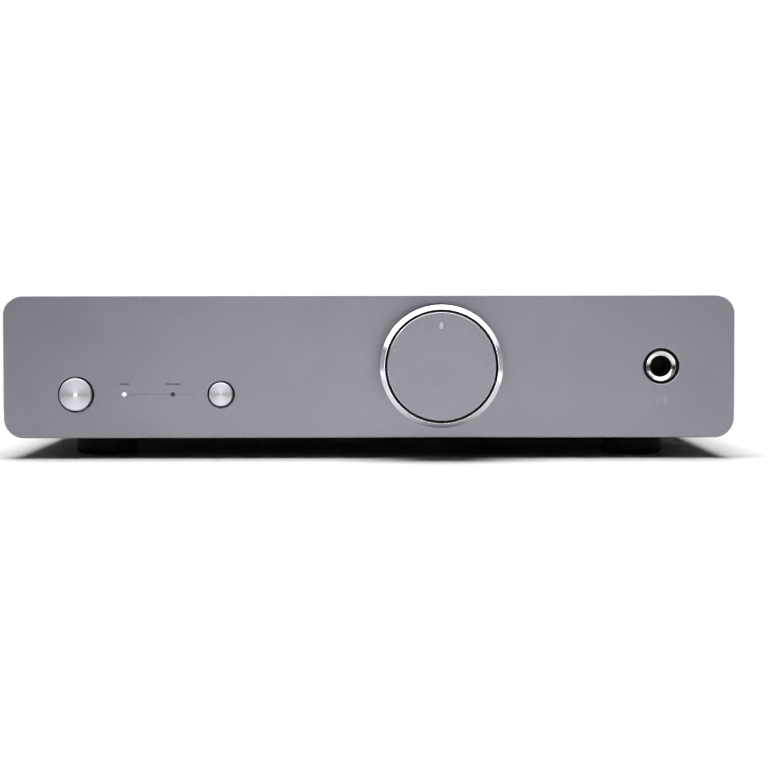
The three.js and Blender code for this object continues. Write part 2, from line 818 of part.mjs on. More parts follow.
// A stacked pair: one moulding behind the panel, with the round cores that fill the shells.
function phonoBlock() {
  const bottom = ON_MAIN_BOARD - AXIS_Z;
  const moulding = block([-6, 6], [-14, PHONO.root], [bottom, 14]);
  const rises = [-PHONO_RISE, PHONO_RISE];
  const cores = rises.map((z) => rodY(PHONO.bore - 0.25, [-3, 6.6], { z, sides: 12 }));
  const centres = rises.map((z) => rodY(1.7, [-1, 7], { z, sides: 12 }));
  return cut(join(moulding, ...cores), ...centres);
}

function phonoShell() {
  return turnedY(
    [
      [PHONO.bore, PHONO.root + GAP],
      [PHONO.shell, PHONO.root + GAP],
      [PHONO.shell, GAP],
      [PHONO.flange, GAP],
      [PHONO.flange, 1.2],
      [PHONO.shell, 1.2],
      [PHONO.shell, SOCKET_PROUD],
      [PHONO.bore, SOCKET_PROUD],
      [PHONO.bore, PHONO.root + GAP],
    ],
    16,
  );
}

const INLET = { pinSpacing: 8.6, pin: 1.2, well: 13, half: [7.8, 4.4] };

// A two-pin mains inlet with a flange, and a well with round ends.
function mainsInlet() {
  const flange = runY(roundedRectangle(29, 17, 2.5), [GAP, 2.3], { curveSegments: 3 });
  const [w, h] = INLET_CUT.map((half) => half - GAP);
  const body = block([-w, w], [-17, 1], [-h, h]);
  const [wellHalf, wellRadius] = INLET.half;
  const wellShape = roundedRectangle(2 * wellHalf, 2 * wellRadius, wellRadius - 0.01);
  const well = runY(wellShape, [2.3 - INLET.well, 4], { curveSegments: 6 });
  const pinHoles = [-1, 1].map((side) =>
    rodY(INLET.pin + 0.35, [-18, 0], { x: (side * INLET.pinSpacing) / 2, sides: 10 }),
  );
  return cut(join(flange, body), well, ...pinHoles);
}

function mainsPin() {
  const pin = rodY(INLET.pin, [-16, 0.2], { sides: 12 });
  const tab = block([-0.4, 0.4], [-22, -15], [-1.1, 1.1]);
  return join(pin, tab);
}

function addRearConnectors() {
  PHONO_X.forEach((x, i) => {
    const pair = group(x, REAR_FACE, AXIS_Z);
    place(pair, `phono_block_${PHONO_NAMES[i]}`, phonoBlock(), blackPlastic);
    const levels = { left: PHONO_RISE, right: -PHONO_RISE };
    for (const [channel, z] of Object.entries(levels)) {
      place(pair, `phono_shell_${PHONO_NAMES[i]}_${channel}`, phonoShell(), nickel, [0, 0, z]);
    }
  });
  const inlet = group(INLET_X, REAR_FACE, AXIS_Z);
  place(inlet, "mains_inlet", mainsInlet(), blackPlastic);
  const half = INLET.pinSpacing / 2;
  place(inlet, "mains_pin_1", mainsPin(), nickel, [-half, 0, 0]);
  place(inlet, "mains_pin_2", mainsPin(), nickel, [half, 0, 0]);
}

addEnclosure();
addVolumeControl();
addButtons();
addLamps();
addJack();
addElectronics();
addRearConnectors();

export default amplifier;
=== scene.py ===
import math

import bmesh
import bpy
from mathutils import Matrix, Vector
from mathutils.geometry import tessellate_polygon


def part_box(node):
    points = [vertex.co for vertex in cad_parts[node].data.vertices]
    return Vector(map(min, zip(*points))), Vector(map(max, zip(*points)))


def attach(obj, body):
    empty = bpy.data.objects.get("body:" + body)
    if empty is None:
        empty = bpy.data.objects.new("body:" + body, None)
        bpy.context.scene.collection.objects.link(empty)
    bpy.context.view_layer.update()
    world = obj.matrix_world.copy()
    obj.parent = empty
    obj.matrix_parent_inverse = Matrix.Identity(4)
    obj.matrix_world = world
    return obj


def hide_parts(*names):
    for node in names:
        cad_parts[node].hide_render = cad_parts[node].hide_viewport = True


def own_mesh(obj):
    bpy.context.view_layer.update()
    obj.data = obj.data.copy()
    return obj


# Lengths below are in millimetres of the row frame, and MM turns them into Blender's metres.
MM = 0.001

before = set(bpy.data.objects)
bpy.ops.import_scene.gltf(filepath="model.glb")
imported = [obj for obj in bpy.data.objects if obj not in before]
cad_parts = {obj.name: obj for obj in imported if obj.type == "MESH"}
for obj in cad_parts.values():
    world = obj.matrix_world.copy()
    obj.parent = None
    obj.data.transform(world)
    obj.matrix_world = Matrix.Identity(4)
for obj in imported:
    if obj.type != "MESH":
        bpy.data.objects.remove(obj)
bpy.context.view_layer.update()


def span(node):
    """The lowest and highest corner of a CAD node, in millimetres."""
    low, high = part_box(node)
    return low / MM, high / MM


def middle(node):
    low, high = span(node)
    return (low + high) / 2


def half_span(node):
    low, high = span(node)
    return (high.x - low.x) / 2


# ---------------- outlines


def filleted(corners, steps=4, closed=False):
    """An outline of (a, b) or (a, b, radius) corners, with short arcs at the rounded ones."""
    made = []
    count = len(corners)
    for i, corner in enumerate(corners):
        here = Vector(corner[:2])
        radius = corner[2] if len(corner) > 2 else 0
        if radius == 0 or (not closed and i in (0, count - 1)):
            made.append(here)
            continue
        before = Vector(corners[i - 1][:2]) - here
        after = Vector(corners[(i + 1) % count][:2]) - here
        half = before.angle(after) / 2
        reach = min(radius / math.tan(half), before.length * 0.49, after.length * 0.49)
        radius = reach * math.tan(half)
        bisector = (before.normalized() + after.normalized()).normalized()
        centre = here + bisector * (radius / math.sin(half))
        start = here + before.normalized() * reach - centre
        end = here + after.normalized() * reach - centre
        first = math.atan2(start.y, start.x)
        sweep = math.atan2(end.y, end.x) - first
        sweep = (sweep + math.pi) % (2 * math.pi) - math.pi
        for k in range(steps + 1):
            angle = first + sweep * k / steps
            made.append(centre + radius * Vector((math.cos(angle), math.sin(angle))))
    return made


def rounded_loop(x, z, half_width, half_height, radius, inset=0.0, steps=10):
    """A rounded rectangle in X and Z, drawn inset from its own edge; a circle where the sizes agree."""
    w, h = half_width - inset, half_height - inset
    r = min(max(radius - inset, 0.02), w, h)
    loop = []
    for sx, sz, start in ((1, 1, 0), (-1, 1, 90), (-1, -1, 180), (1, -1, 270)):
        for k in range(steps + 1):
            angle = math.radians(start + 90 * k / steps)
            loop.append((x + sx * (w - r) + r * math.cos(angle), z + sz * (h - r) + r * math.sin(angle)))
    return loop


def box_loop(x, z, half_width, half_height, radius, steps=4):
    """The arguments of rounded_loop, kept for a plate's outline or one of its holes."""
    return dict(x=x, z=z, half_width=half_width, half_height=half_height, radius=radius, steps=steps)


def circle(x, z, radius, steps=16):
    return box_loop(x, z, radius, radius, radius, steps)


def loop_of(node, radius, steps=4, grow=0.0):
    """A CAD node's outline seen from the front, as arguments of rounded_loop."""
    low, high = span(node)
    x, z = (low.x + high.x) / 2, (low.z + high.z) / 2
    return box_loop(x, z, (high.x - low.x) / 2 + grow, (high.z - low.z) / 2 + grow, radius, steps)


def arc(x, z, radius, first, last, steps):
    """Points along an arc in X and Z, from first to last degrees."""
    angles = [math.radians(first + (last - first) * k / steps) for k in range(steps + 1)]
    return [(x + radius * math.cos(angle), z + radius * math.sin(angle)) for angle in angles]


class Shape:
    """A mesh in the making: points in millimetres, faces, and each face's material number."""

    def __init__(self):
        self.points = []
        self.faces = []
        self.paints = []

    def ring(self, points):
        first = len(self.points)
        self.points += [tuple(p) for p in points]
        return list(range(first, len(self.points)))

    def across(self, loop, y):
        """A ring of a loop in X and Z, at y."""
        return self.ring([(x, y, z) for x, z in loop])

    def face(self, corners, paint=0):
        self.faces.append(tuple(corners))
        self.paints.append(paint)

    def bridge(self, a, b, paint=0):
        for i in range(len(a)):
            j = (i + 1) % len(a)
            self.face((a[i], a[j], b[j], b[i]), paint)

    def fan(self, ring, tip, paint=0):
        for i in range(len(ring)):
            self.face((ring[i], ring[(i + 1) % len(ring)], tip), paint)

    def fill(self, rings, paint=0):
        """Closes a flat face between an outer ring and the holes inside it."""
        flat = [i for ring in rings for i in ring]
        loops = [[Vector(self.points[i]) for i in ring] for ring in rings]
        for triangle in tessellate_polygon(loops):
            self.face([flat[i] for i in triangle], paint)

    def loft(self, rings, paints=None, around=False):
        """Bridges ring after ring; around joins the last to the first."""
        count = len(rings) if around else len(rings) - 1
        for i in range(count):
            paint = paints[i] if paints else 0
            self.bridge(rings[i], rings[(i + 1) % len(rings)], paint)

    def capped(self, rings, paint=0):
        """Bridges ring after ring and closes both ends."""
        self.loft(rings, [paint] * (len(rings) - 1))
        self.fill([rings[0]], paint)
        self.fill([rings[-1]], paint)


def turned(shape, profile, centre, axis="Y", sides=96, paint_of=None, closed=False, outline=None):
    """Turns a profile of (radius, height) about an axis through centre; heights are along the axis.

    outline, if given, is a function of (angle, radius) that returns another radius."""
    rings = []
    for radius, height in profile:
        points = []
        for k in range(1 if radius < 1e-6 else sides):
            angle = 2 * math.pi * k / sides
            reach = outline(angle, radius) if outline else radius
            a, b = reach * math.cos(angle), reach * math.sin(angle)
            offset = (a, height, b) if axis == "Y" else (a, b, height)
            points.append([c + d for c, d in zip(centre, offset)])
        rings.append(shape.ring(points))
    pairs = list(zip(rings, rings[1:]))
    if closed:
        pairs.append((rings[-1], rings[0]))
    for i, (a, b) in enumerate(pairs):
        paint = paint_of(i) if paint_of else 0
        if len(a) == 1:
            shape.fan(b, a[0], paint)
        elif len(b) == 1:
            shape.fan(a, b[0], paint)
        else:
            shape.bridge(a, b, paint)
    return rings


def plate(shape, outer, edge, holes, edge_paint=0):
    """A flat plate across Y. outer and each hole's loop are arguments of rounded_loop; edge and each
    hole's own profile are (inset, y) from the front face round to the back face."""

    def rings_of(loop, profile, grow):
        return [shape.across(rounded_loop(**loop, inset=inset * grow), y) for inset, y in profile]

    front, back = edge[0][1], edge[-1][1]
    outside = rings_of(outer, edge, 1)
    inside = [rings_of(loop, profile, -1) for loop, profile in holes]
    for end in (0, -1):
        shape.fill([outside[end], *[rings[end] for rings in inside]])
    profiles = [(outside, edge), *[(rings, profile) for rings, (_, profile) in zip(inside, holes)]]
    for rings, profile in profiles:
        flat = [abs(y - front) < 1e-6 or abs(y - back) < 1e-6 for _, y in profile]
        paints = []
        for i in range(len(profile) - 1):
            in_face = flat[i] and flat[i + 1] and abs(profile[i][1] - profile[i + 1][1]) < 1e-6
            paints.append(0 if in_face else edge_paint)
        shape.loft(rings, paints)


def block(shape, low, high, edge=0.3):
    """A box with rounded upright edges and softened rims, standing along Z."""
    centre = [(a + b) / 2 for a, b in zip(low, high)]
    half = [(b - a) / 2 for a, b in zip(low, high)]
    profile = filleted([(edge * 2, low[2]), (0, low[2], edge), (0, high[2], edge), (edge * 2, high[2])])
    rings = []
    for inset, z in profile:
        flat = rounded_loop(centre[0], centre[1], half[0], half[1], edge, inset, steps=4)
        rings.append(shape.ring([(x, y, z) for x, y in flat]))
    shape.capped(rings)


def tube(shape, at, outer, inner, front, back, edge=0.1, sides=96, paint=0):
    """A ring of square section with softened edges, from front to back along Y."""
    corners = [(inner, front, edge), (outer, front, edge), (outer, back, edge), (inner, back, edge)]
    profile = filleted(corners, steps=3, closed=True)
    turned(shape, profile, at, sides=sides, closed=True, paint_of=lambda i: paint)


# ---------------- pieces


def piece(name, shape, materials, body="case", replaces=()):
    """Turns a shape into a piece of the object that rides on a body."""
    mesh = bpy.data.meshes.new(name)
    mesh.from_pydata([Vector(p) * MM for p in shape.points], [], shape.faces)
    for material in materials:
        mesh.materials.append(material)
    for polygon, paint in zip(mesh.polygons, shape.paints):
        polygon.material_index = paint
    made = bpy.data.objects.new(name, mesh)
    bpy.context.scene.collection.objects.link(made)
    face_outwards(mesh)
    mesh.shade_smooth()
    mesh.set_sharp_from_angle(angle=math.radians(38))
    normals = made.modifiers.new("flat_faces", "WEIGHTED_NORMAL")
    normals.keep_sharp = True
    normals.weight = 90
    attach(made, body)
    if replaces:
        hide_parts(*replaces)
    return made


def face_outwards(mesh):
    work = bmesh.new()
    work.from_mesh(mesh)
    bmesh.ops.remove_doubles(work, verts=work.verts, dist=1e-7)
    bmesh.ops.recalc_face_normals(work, faces=work.faces)
    work.to_mesh(mesh)
    work.free()


def soften_cad(node, material, edge):
    """A CAD node that stays gets rounded edges and a better material."""
    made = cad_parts[node]
    made.data.materials.clear()
    made.data.materials.append(material)
    bevel = made.modifiers.new("edges", "BEVEL")
    bevel.width = edge * MM
    bevel.segments = 2
    bevel.limit_method = "ANGLE"
    bevel.angle_limit = math.radians(50)
    bevel.harden_normals = True
    made.data.shade_smooth()
    made.data.set_sharp_from_angle(angle=math.radians(40))


# ---------------- shader nodes


class Nodes:
    """Short ways to add nodes to a tree."""

    def __init__(self, tree):
        self.tree = tree

    def node(self, kind, **settings):
        made = self.tree.nodes.new(kind)
        for key, value in settings.items():
            setattr(made, key, value)
        return made

    def link(self, source, target):
        self.tree.links.new(source, target)

    def math(self, operation, a, b=0.0):
        made = self.node("ShaderNodeMath", operation=operation)
        for value, socket in ((a, made.inputs[0]), (b, made.inputs[1])):
            if isinstance(value, (int, float)):
                socket.default_value = value
            else:
                self.link(value, socket)
        return made.outputs[0]

    def part(self, source, axis):
        """One coordinate of a vector."""
        split = self.node("ShaderNodeSeparateXYZ")
        self.link(source, split.inputs[0])
        return split.outputs[axis]

    def between(self, factor, low, high, start=0.3, end=0.7):
        """factor from start to end, as a value from low to high."""
        made = self.node("ShaderNodeMapRange")
        for socket, value in (("From Min", start), ("From Max", end), ("To Min", low), ("To Max", high)):
            made.inputs[socket].default_value = value
        self.link(factor, made.inputs["Value"])
        return made.outputs["Result"]

    def mix(self, factor, a, b):
        made = self.node("ShaderNodeMix", data_type="RGBA")
        self.link(factor, made.inputs["Factor"])
        for value, socket in ((a, made.inputs["A"]), (b, made.inputs["B"])):
            if isinstance(value, tuple):
                socket.default_value = (*value, 1)
            else:
                self.link(value, socket)
        return made.outputs["Result"]


class Look(Nodes):
    """A procedural material: one Principled shader and what feeds it."""

    def __init__(self, name, color, roughness, metallic=0.0, specular=0.5, coat=0.0):
        self.material = bpy.data.materials.new(name)
        self.material.use_nodes = True
        super().__init__(self.material.node_tree)
        self.shader = self.tree.nodes["Principled BSDF"]
        self.set("Base Color", (*color, 1))
        self.set("Roughness", roughness)
        self.set("Metallic", metallic)
        self.set("Specular IOR Level", specular)
        self.set("Coat Weight", coat)
        self.color = color
        self.roughness = roughness
        self.place = self.node("ShaderNodeTexCoord").outputs["Object"]
        self.height = None

    def set(self, socket, value):
        self.shader.inputs[socket].default_value = value

    def feed(self, source, socket):
        self.link(source, self.shader.inputs[socket])

    def noise(self, size, detail=2.0, roughness=0.5, stretch=(1, 1, 1), place=None):
        """Noise whose features are about size millimetres, from 0 to 1."""
        mapping = self.node("ShaderNodeMapping")
        mapping.inputs["Scale"].default_value = stretch
        self.link(place or self.place, mapping.inputs["Vector"])
        made = self.node("ShaderNodeTexNoise")
        made.inputs["Scale"].default_value = 1 / (size * MM)
        made.inputs["Detail"].default_value = detail
        made.inputs["Roughness"].default_value = roughness
        self.link(mapping.outputs["Vector"], made.inputs["Vector"])
        return made.outputs["Fac"]

    def shade(self, factor, low, high):
        """Scales the base colour between low and high by a factor from 0 to 1."""
        dark, light = [tuple(min(c * share, 1) for c in self.color) for share in (low, high)]
        return self.mix(factor, dark, light)

    def bump(self, height, depth):
        """Adds relief of depth millimetres on top of any relief before it."""
        made = self.node("ShaderNodeBump")
        made.inputs["Strength"].default_value = 1
        made.inputs["Distance"].default_value = depth * MM
        self.link(height, made.inputs["Height"])
        if self.height:
            self.link(self.height, made.inputs["Normal"])
        self.height = made.outputs["Normal"]
        self.feed(self.height, "Normal")

    def surface(self, pattern, tone, rough, depth):
        """One pattern drives tone (share of the colour), roughness and relief (mm) together."""
        self.feed(self.shade(self.between(pattern, 0, 1), *tone), "Base Color")
        self.feed(self.between(pattern, *rough), "Roughness")
        self.bump(pattern, depth)

    def vector(self, operation, a, b=None):
        made = self.node("ShaderNodeVectorMath", operation=operation)
        self.link(a, made.inputs[0])
        if b:
            made.inputs[1].default_value = b
        return made.outputs["Value" if operation == "LENGTH" else "Vector"]

    def offset(self, centre, keep=(1, 1, 1)):
        """Where a point lies from centre, with only the coordinates to keep."""
        moved = self.vector("SUBTRACT", self.place, [c * MM for c in centre])
        return self.vector("MULTIPLY", moved, keep)

    def from_axis(self, centre, across=(1, 0, 1)):
        """Distance from an axis through centre, in metres; across is 0 along the axis."""
        return self.vector("LENGTH", self.offset(centre, across))

    def up_or_down(self, centre):
        """1 straight above or below a Y axis through centre, falling to 0 beside it."""
        outward = self.vector("NORMALIZE", self.offset(centre, (1, 0, 1)))
        return self.math("ABSOLUTE", self.part(outward, "Z"))

    def lathe_marks_and_painted_reflection(self, centre, pitch=0.09, depth=0.0015, painted_side_shade=0.0, reach=1.0):
        """Tool marks round a Y axis, and a painted reflection: a wedge of painted shade on each side of the
        axis.

        The colour falls by the given share of painted shade beside the axis, and is whole again where
        up_or_down passes reach."""
        line = self.node("ShaderNodeCombineXYZ")
        self.link(self.from_axis(centre), line.inputs[0])
        marks = self.noise(pitch, detail=3, place=line.outputs[0])
        bands = self.noise(pitch * 9, detail=1, place=line.outputs[0])
        # Painted reflection: the colour is shaded darker beside the axis and whole straight above and below
        # it.
        painted_bowtie = self.between(self.up_or_down(centre), 1 - painted_side_shade, 1, 0, reach)
        tone = self.math("MULTIPLY", painted_bowtie, self.between(bands, 0.94, 1))
        self.feed(self.shade(tone, 0, 1), "Base Color")
        self.feed(self.between(marks, self.roughness - 0.05, self.roughness + 0.07), "Roughness")
        self.bump(marks, depth)


# ---------------- materials


def textured(name, color, size, tone, rough, depth, detail=2, roughness=0.5, stretch=(1, 1, 1), **look):
    """A surface whose texture is one noise of size millimetres."""
    made = Look(name, color, sum(rough) / 2, **look)
    made.surface(made.noise(size, detail, roughness, stretch), tone, rough, depth)
    return made.material


def turned_metal(name, color, roughness, centre, **marks):
    look = Look(name, color, roughness, metallic=1.0)
    look.lathe_marks_and_painted_reflection(centre, **marks)
    return look.material


def ink(name, color, size, uneven, depth=0.003):
    """Screen print with a slightly uneven cover."""
    tone = (1 - uneven, 1 + uneven)
    return textured(name, color, size, tone, (0.42, 0.58), depth, detail=3, specular=0.4)


# Metals
CUT = textured("cut_aluminium", (0.44, 0.434, 0.48), 0.12, (0.94, 1.05), (0.32, 0.42), 0.001,
               stretch=(0.05, 1, 1), metallic=1.0)
CUT_BRIGHT = textured("diamond_cut", (0.6, 0.595, 0.64), 0.1, (0.94, 1.04), (0.16, 0.26), 0.001,
                      metallic=1.0)
NICKEL = textured("nickel_plate", (0.78, 0.77, 0.76), 1.6, (0.93, 1.03), (0.12, 0.22), 0.0015,
                  detail=3, metallic=1.0)
SPRING = textured("spring_steel", (0.55, 0.55, 0.57), 0.3, (0.92, 1.08), (0.22, 0.38), 0.002, metallic=1.0)
BRASS = textured("spring_brass", (0.72, 0.53, 0.22), 0.4, (0.92, 1.08), (0.2, 0.36), 0.002, metallic=1.0)
SCREW_ZINC = textured("screw_zinc", (0.60, 0.61, 0.63), 0.25, (0.92, 1.08), (0.22, 0.38), 0.003,
                      detail=3, metallic=1.0)
CUT_SHAFT = textured("cut_shaft", (0.70, 0.70, 0.72), 0.12, (0.9, 1.05), (0.28, 0.28), 0.004,
                     stretch=(0.02, 1, 0.02), metallic=1.0)
BLACK_ANODISED = textured("black_anodised", (0.022, 0.022, 0.024), 0.6, (0.8, 1.2), (0.32, 0.48), 0.004,
                          stretch=(1, 1, 0.05), metallic=0.6)
# Painted shade: the knob's groove is coloured near black for the shade in its deep, narrow gap.
GROOVE_PAINTED_SHADE = textured("groove_painted_shade", (0.022, 0.022, 0.024), 0.3, (0.7, 1.3), (0.47, 0.63), 0.004,
                       specular=0.3)

# Paint, plastic and rubber
BLACK_PAINT = textured("black_powder_coat", (0.012, 0.012, 0.013), 0.9, (0.75, 1.25), (0.44, 0.58), 0.03,
                       detail=3, roughness=0.6, specular=0.35)
RUBBER = textured("moulded_rubber", (0.008, 0.008, 0.0085), 0.5, (0.75, 1.25), (0.61, 0.79), 0.02,
                  detail=3, specular=0.2)
PLASTIC = textured("moulded_plastic", (0.016, 0.016, 0.018), 0.22, (0.8, 1.2), (0.4, 0.56), 0.008,
                   specular=0.45)
GLOSS_BLACK = textured("gloss_black_plastic", (0.012, 0.012, 0.014), 1.8, (0.85, 1.15), (0.15, 0.25), 0.002)
PLUNGER = textured("white_plunger", (0.55, 0.55, 0.53), 0.4, (0.94, 1.06), (0.28, 0.42), 0.004)
SLEEVE = textured("shrink_sleeve", (0.02, 0.022, 0.035), 2.5, (0.88, 1.12), (0.19, 0.31), 0.01, coat=0.3)
INSULATION = textured("wire_insulation", (0.35, 0.03, 0.02), 1.2, (0.9, 1.1), (0.32, 0.48), 0.01)
ENAMEL = textured("pointer_enamel", (0.92, 0.915, 0.97), 0.3, (0.96, 1.04), (0.34, 0.46), 0.002)

# Inks
DARK_INK = ink("printed_ink", (0.2, 0.2, 0.22), 0.12, 0.15, depth=0.002)
PALE_INK = ink("pale_ink", (0.59, 0.585, 0.63), 0.12, 0.05, depth=0.002)
WHITE_INK = ink("white_ink", (0.72, 0.72, 0.70), 0.15, 0.06)
RED_INK = ink("red_ink", (0.45, 0.03, 0.025), 0.15, 0.1)
HAIRLINE_INK = textured("hairline_ink", (0.17, 0.168, 0.185), 0.12, (0.9, 1.1), (0.39, 0.51), 0.002,
                        detail=3, metallic=0.5)


def blasted_aluminium():
    """Bead-blasted and anodised: a close satin grain, with faint clouding."""
    look = Look("blasted_aluminium", (0.272, 0.268, 0.305), 0.44, metallic=1.0)
    grains = look.noise(0.42, roughness=0.65)
    clouds = look.noise(18, detail=3)
    weighted = look.math("MULTIPLY", look.between(grains, 0, 1), 0.75)
    mixed = look.math("ADD", weighted, look.math("MULTIPLY", look.between(clouds, 0, 1), 0.25))
    look.feed(look.shade(mixed, 0.86, 1.14), "Base Color")
    look.feed(look.between(grains, 0.30, 0.42), "Roughness")
    look.bump(grains, 0.012)
    return look.material


def powder_coat():
    """Textured grey paint on steel: orange peel and fine speckle."""
    look = Look("powder_coat", (0.215, 0.213, 0.235), 0.46)
    peel = look.noise(0.9, detail=3, roughness=0.6)
    specks = look.noise(0.28, detail=1)
    look.feed(look.shade(look.between(specks, 0, 1), 0.88, 1.12), "Base Color")
    look.feed(look.between(peel, 0.40, 0.54), "Roughness")
    look.bump(peel, 0.03)
    look.bump(specks, 0.008)
    return look.material


def zinc_plate():
    """Bright zinc on rolled steel: long rolling lines and a faint spangle."""
    look = Look("zinc_plate", (0.62, 0.63, 0.65), 0.34, metallic=1.0)
    rolling = look.noise(0.5, detail=4, stretch=(1, 0.03, 1))
    spangle = look.noise(6, detail=1)
    tone = look.math("MULTIPLY", look.between(rolling, 0, 1), look.between(spangle, 0.6, 1))
    look.feed(look.shade(tone, 0.86, 1.06), "Base Color")
    look.feed(look.between(rolling, 0.28, 0.42), "Roughness")
    look.bump(rolling, 0.002)
    return look.material


def light_pipe(name, centre, glow, core=0.4, rim=0.6):
    """The end of an acrylic light pipe: when lit, its glow fades from the core to the rim, in mm."""
    look = Look(name, (0.62, 0.63, 0.66) if glow else (0.05, 0.05, 0.055), 0.28, specular=0.6)
    haze = look.noise(0.25)
    look.feed(look.between(haze, 0.2, 0.36), "Roughness")
    look.bump(haze, 0.003)
    if glow:
        fade = look.between(look.from_axis(centre), glow, glow * 0.12, core * MM, rim * MM)
        look.set("Emission Color", (0.96, 0.98, 1.0, 1))
        look.feed(look.math("MULTIPLY", fade, look.between(haze, 0.94, 1.06)), "Emission Strength")
    return look.material


def solder_resist():
    """Green board with the faint relief of copper tracks under the resist."""
    green = (0.015, 0.11, 0.045)
    look = Look("solder_resist", green, 0.35, coat=0.3)
    tracks = look.node("ShaderNodeTexBrick")
    tracks.inputs["Scale"].default_value = 90
    tracks.inputs["Mortar Size"].default_value = 0.03
    tracks.inputs["Color1"].default_value = (*green, 1)
    tracks.inputs["Color2"].default_value = (0.02, 0.15, 0.06, 1)
    tracks.inputs["Mortar"].default_value = (0.01, 0.075, 0.03, 1)
    look.link(look.place, tracks.inputs["Vector"])
    look.feed(tracks.outputs["Color"], "Base Color")
    look.bump(tracks.outputs["Fac"], 0.03)
    return look.material


def copper_windings(centre):
    """Enamelled wire laid radially over the ring."""
    look = Look("copper_windings", (0.42, 0.16, 0.045), 0.3, metallic=0.7, coat=0.5)
    turn = look.node("ShaderNodeTexGradient", gradient_type="RADIAL")
    look.link(look.offset(centre), turn.inputs["Vector"])
    wires = look.math("SINE", look.math("MULTIPLY", turn.outputs["Fac"], 2 * math.pi * 150))
    layers = look.noise(5, detail=3)
    look.feed(look.shade(look.between(layers, 0, 1), 0.7, 1.15), "Base Color")
    look.bump(look.between(wires, 0, 1, -1, 1), 0.25)
    return look.material


def ribbed_ribbon():
    """Flat cable: one rib for each wire, 1.27 mm apart."""
    look = Look("ribbed_ribbon", (0.30, 0.305, 0.31), 0.5)
    turns = look.math("MULTIPLY", look.part(look.place, "X"), 2 * math.pi / (1.27 * MM))
    ribs = look.between(look.math("SINE", turns), 0, 1, -1, 1)
    # Painted shade: the colour is darker in the valleys between the ribs and lighter on their crests.
    look.feed(look.shade(ribs, 0.8, 1.1), "Base Color")
    look.bump(ribs, 0.25)
    return look.material


BLASTED = blasted_aluminium()
PAINT = powder_coat()
ZINC = zinc_plate()
BOARD = solder_resist()

# ---------------- the front panel

panel_low, panel_high = span("front_panel")
PANEL_FRONT = panel_low.y
PANEL_BACK = panel_high.y
REAR_FACE = span("rear_panel")[1].y
KNOB = middle("knob_shell")
JACK = middle("jack_ferrule")
BUTTONS = {name: middle(f"{name}_button") for name in ("power", "selector")}
LAMPS = [middle(f"indicator_lens_{i}") for i in (1, 2)]


def hole_profile(chamfer, front, back):
    """From the front face, over a small chamfer, through the plate and out at its back."""
    over = [(chamfer + 0.5, front), (chamfer, front, 0.04), (0, front + chamfer, 0.04)]
    return filleted([*over, (0, back - 0.15), (0.15, back), (0.6, back)], steps=3)


def hole(centre, radius, chamfer, steps=16):
    """A round hole in the front panel, as one of plate()'s holes."""
    return circle(centre.x, centre.z, radius, steps), hole_profile(chamfer, PANEL_FRONT, PANEL_BACK)


def front_panel():
    chamfer = 0.25
    over = [(3, PANEL_FRONT), (chamfer, PANEL_FRONT, 0.08), (0, PANEL_FRONT + chamfer, 0.12)]
    edge = filleted([*over, (0, PANEL_BACK, 0.25), (2, PANEL_BACK)])
    holes = [
        hole(BUTTONS["power"], 5.3, 0.1),
        hole(BUTTONS["selector"], 4.0, 0.1),
        hole(KNOB, 8.0, 0.3),
        hole(JACK, 5.3, 0.22),
        *[hole(lamp, 0.64, 0.06, steps=8) for lamp in LAMPS],
    ]
    shape = Shape()
    plate(shape, loop_of("front_panel", 5.8, steps=16), edge, holes, edge_paint=1)
    piece("front_panel_plate", shape, [BLASTED, CUT], replaces=["front_panel"])


def printed(shape, loop, face, outward=-1):
    """A closed outline in X and Z, printed on a face that looks outward along Y."""
    shape.capped([shape.across(loop, face + outward * lift) for lift in (0.03, 0.006)])


def bar_mark(shape, x, z, half_width, half_height, face=PANEL_FRONT, outward=-1, radius=None):
    radius = radius or min(half_width, half_height)
    printed(shape, rounded_loop(x, z, half_width, half_height, radius, steps=4), face, outward)


def front_marks():
    """Generic marks only: one bar and two bars over the lamps, a hairline, a headband with two pads."""
    lamp, second = LAMPS
    dark = Shape()
    label_z = lamp.z + 3.0
    bar_mark(dark, lamp.x, label_z, 1.5, 0.34)
    for side in (-1, 1):
        bar_mark(dark, second.x + side * 1.15, label_z, 0.95, 0.34)
    piece("lamp_marks", dark, [DARK_INK])

    line = Shape()
    left, right = lamp.x + 1.9, BUTTONS["selector"].x - 7.4
    for start, end in ((left, second.x - 1.1), (second.x + 1.1, right)):
        bar_mark(line, (start + end) / 2, lamp.z, (end - start) / 2, 0.07)
    piece("lamp_hairline", line, [HAIRLINE_INK])

    band = Shape()
    z = JACK.z - 9.7
    radius, stroke = 1.25, 0.34
    inner, outer = [arc(JACK.x, z, radius + side * stroke / 2, 0, 180, 20) for side in (-1, 1)]
    printed(band, inner + outer[::-1], PANEL_FRONT)
    for side in (-1, 1):
        bar_mark(band, JACK.x + side * 1.15, z - 1.05, 0.36, 0.9, radius=0.25)
    piece("headphone_mark", band, [PALE_INK])


# ---------------- the knob


